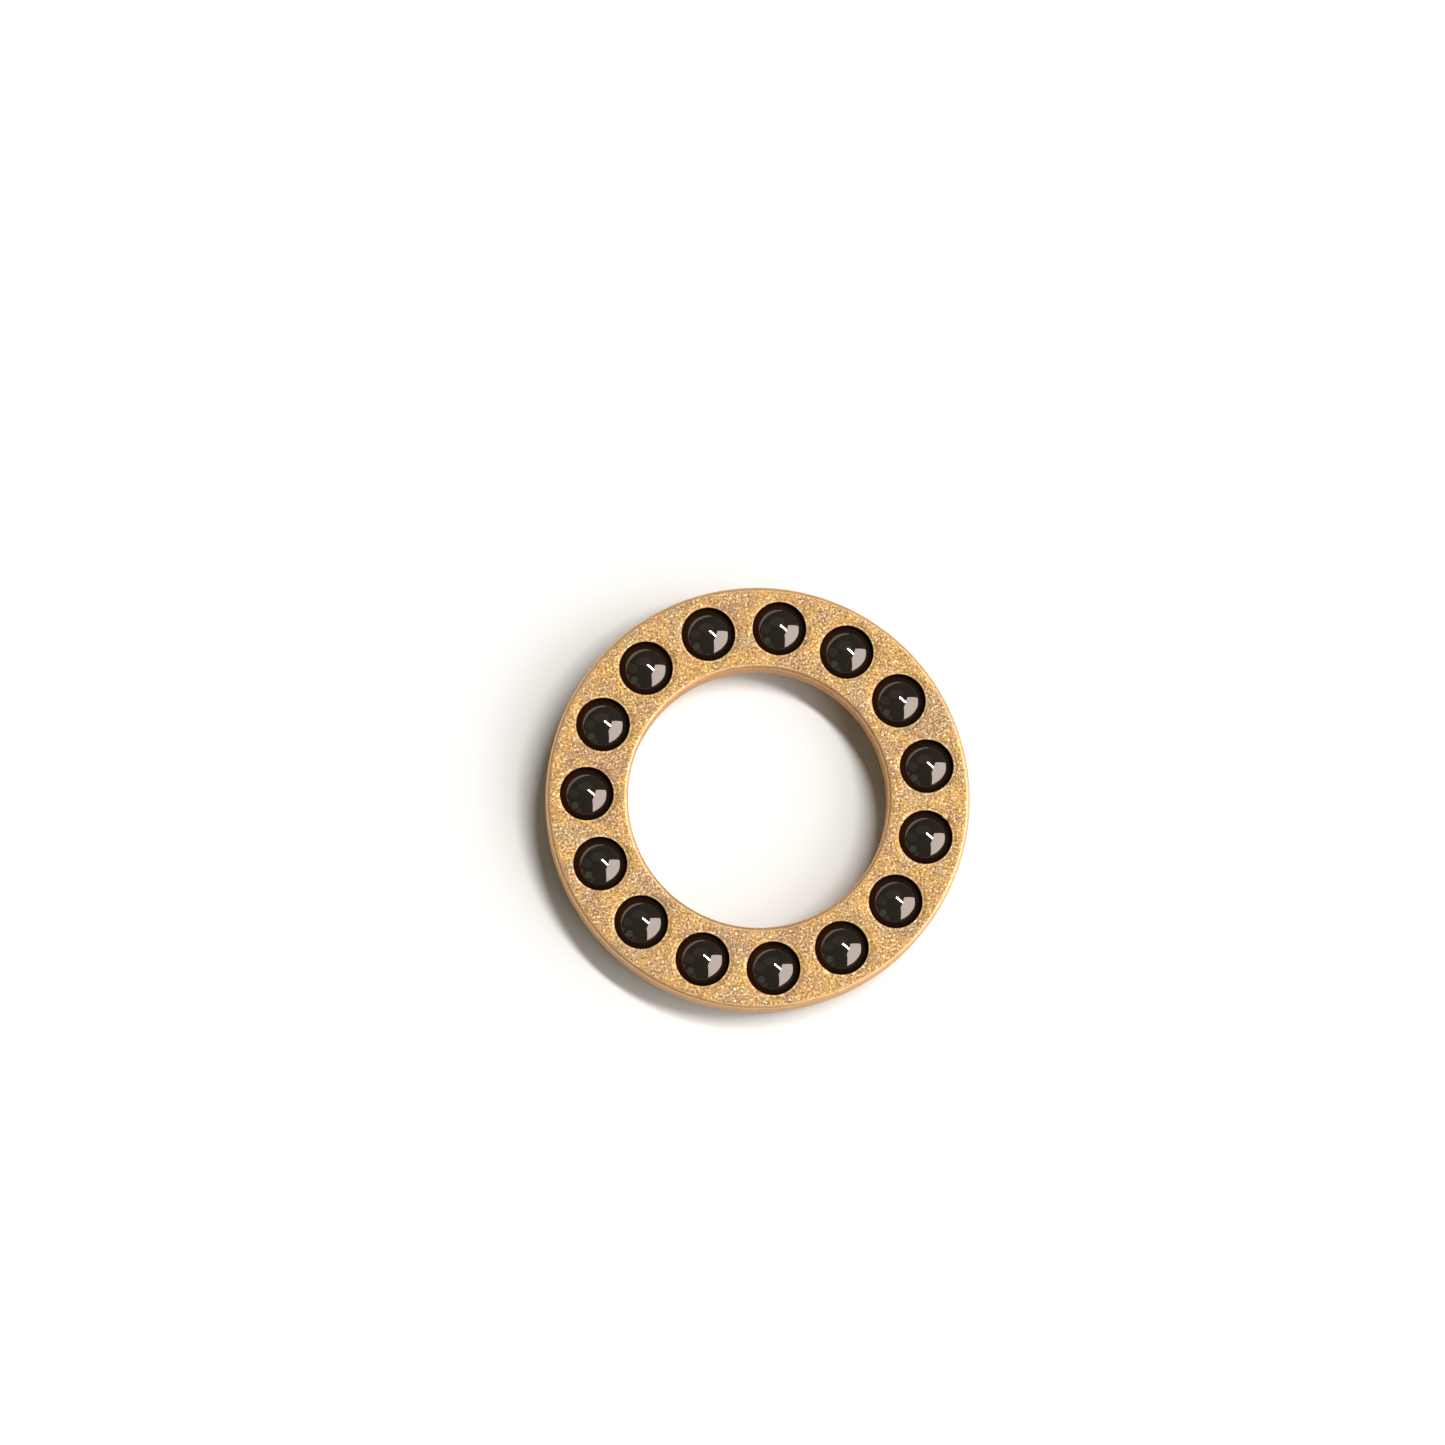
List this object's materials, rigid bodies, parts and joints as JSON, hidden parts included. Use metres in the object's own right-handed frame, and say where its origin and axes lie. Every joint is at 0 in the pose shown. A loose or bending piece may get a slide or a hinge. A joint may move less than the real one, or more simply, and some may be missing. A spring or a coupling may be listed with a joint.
{
  "type": "thrust ball bearing cage assembly",
  "caption": "Flat caged thrust ball bearing without washers: a bronze cage ring whose round pockets each hold one loose dark ceramic ball that stands proud of both faces.",
  "frame": {"origin": "centre of the circle of ball centres, on the bearing's axis and midway between the two planes that the balls roll on", "axes": "+Z along the bearing's axis, out of the cage's upper face, which has the smaller pocket mouths; +X through the centre of ball_01, and the balls are numbered towards +Y"},
  "size_m": [0.0104, 0.0104, 0.0016],
  "materials": {
    "cage_bronze": "tumbled matte bronze with a fine bright grain",
    "ball_ceramic": "lapped, mirror-smooth dark silicon nitride"
  },
  "bodies": {
    "cage": {"cage": "cage_bronze"},
    "ball_01": {"ball_01": "ball_ceramic"},
    "ball_02": {"ball_02": "ball_ceramic"},
    "ball_03": {"ball_03": "ball_ceramic"},
    "ball_04": {"ball_04": "ball_ceramic"},
    "ball_05": {"ball_05": "ball_ceramic"},
    "ball_06": {"ball_06": "ball_ceramic"},
    "ball_07": {"ball_07": "ball_ceramic"},
    "ball_08": {"ball_08": "ball_ceramic"},
    "ball_09": {"ball_09": "ball_ceramic"},
    "ball_10": {"ball_10": "ball_ceramic"},
    "ball_11": {"ball_11": "ball_ceramic"},
    "ball_12": {"ball_12": "ball_ceramic"},
    "ball_13": {"ball_13": "ball_ceramic"},
    "ball_14": {"ball_14": "ball_ceramic"},
    "ball_15": {"ball_15": "ball_ceramic"}
  },
  "joints": [
    {"name": "ball_01_roll", "type": "hinge", "parent": "cage", "child": "ball_01", "pos_m": [0.00425, 0, 0], "axis": [1, 0, 0], "continuous": true},
    {"name": "ball_02_roll", "type": "hinge", "parent": "cage", "child": "ball_02", "pos_m": [0.00388, 0.00173, 0], "axis": [0.9135, 0.4067, 0], "continuous": true},
    {"name": "ball_03_roll", "type": "hinge", "parent": "cage", "child": "ball_03", "pos_m": [0.00284, 0.00316, 0], "axis": [0.6691, 0.7431, 0], "continuous": true},
    {"name": "ball_04_roll", "type": "hinge", "parent": "cage", "child": "ball_04", "pos_m": [0.00131, 0.00404, 0], "axis": [0.309, 0.9511, 0], "continuous": true},
    {"name": "ball_05_roll", "type": "hinge", "parent": "cage", "child": "ball_05", "pos_m": [-0.00044, 0.00423, 0], "axis": [-0.1045, 0.9945, 0], "continuous": true},
    {"name": "ball_06_roll", "type": "hinge", "parent": "cage", "child": "ball_06", "pos_m": [-0.00213, 0.00368, 0], "axis": [-0.5, 0.866, 0], "continuous": true},
    {"name": "ball_07_roll", "type": "hinge", "parent": "cage", "child": "ball_07", "pos_m": [-0.00344, 0.0025, 0], "axis": [-0.809, 0.5878, 0], "continuous": true},
    {"name": "ball_08_roll", "type": "hinge", "parent": "cage", "child": "ball_08", "pos_m": [-0.00416, 0.00088, 0], "axis": [-0.9781, 0.2079, 0], "continuous": true},
    {"name": "ball_09_roll", "type": "hinge", "parent": "cage", "child": "ball_09", "pos_m": [-0.00416, -0.00088, 0], "axis": [-0.9781, -0.2079, 0], "continuous": true},
    {"name": "ball_10_roll", "type": "hinge", "parent": "cage", "child": "ball_10", "pos_m": [-0.00344, -0.0025, 0], "axis": [-0.809, -0.5878, 0], "continuous": true},
    {"name": "ball_11_roll", "type": "hinge", "parent": "cage", "child": "ball_11", "pos_m": [-0.00213, -0.00368, 0], "axis": [-0.5, -0.866, 0], "continuous": true},
    {"name": "ball_12_roll", "type": "hinge", "parent": "cage", "child": "ball_12", "pos_m": [-0.00044, -0.00423, 0], "axis": [-0.1045, -0.9945, 0], "continuous": true},
    {"name": "ball_13_roll", "type": "hinge", "parent": "cage", "child": "ball_13", "pos_m": [0.00131, -0.00404, 0], "axis": [0.309, -0.9511, 0], "continuous": true},
    {"name": "ball_14_roll", "type": "hinge", "parent": "cage", "child": "ball_14", "pos_m": [0.00284, -0.00316, 0], "axis": [0.6691, -0.7431, 0], "continuous": true},
    {"name": "ball_15_roll", "type": "hinge", "parent": "cage", "child": "ball_15", "pos_m": [0.00388, -0.00173, 0], "axis": [0.9135, -0.4067, 0], "continuous": true}
  ]
}
